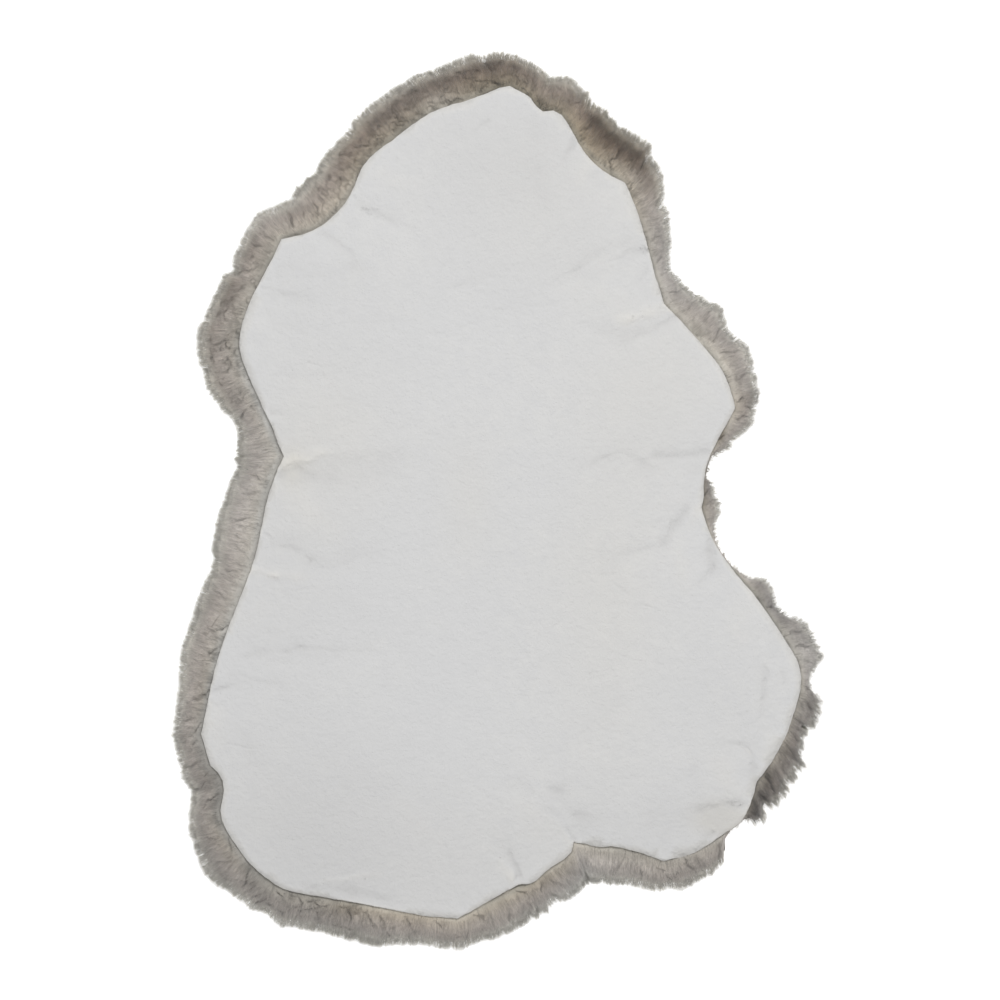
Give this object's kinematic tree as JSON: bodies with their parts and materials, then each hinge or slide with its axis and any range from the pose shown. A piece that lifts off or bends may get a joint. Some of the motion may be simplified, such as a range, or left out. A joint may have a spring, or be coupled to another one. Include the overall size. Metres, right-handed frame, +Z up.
{
  "type": "sheepskin rug",
  "caption": "Single sheepskin lying hide side up, with a free-form cut outline and its wool underneath showing as a band of locks all round the edge.",
  "frame": {"origin": "centre of the rug's box, on the floor it lies on", "axes": "+Y towards the neck, which is the rug's long way; +X to the right as seen from above; +Z up, out of the hide's bare side"},
  "size_m": [0.7138, 0.9864, 0.0402],
  "materials": {
    "hide_suede": "matt tanned flesh side, light warm grey",
    "wool": "dense wool pile, grey-beige"
  },
  "bodies": {
    "root": {"hide": "hide_suede", "fleece": "wool"}
  },
  "joints": []
}
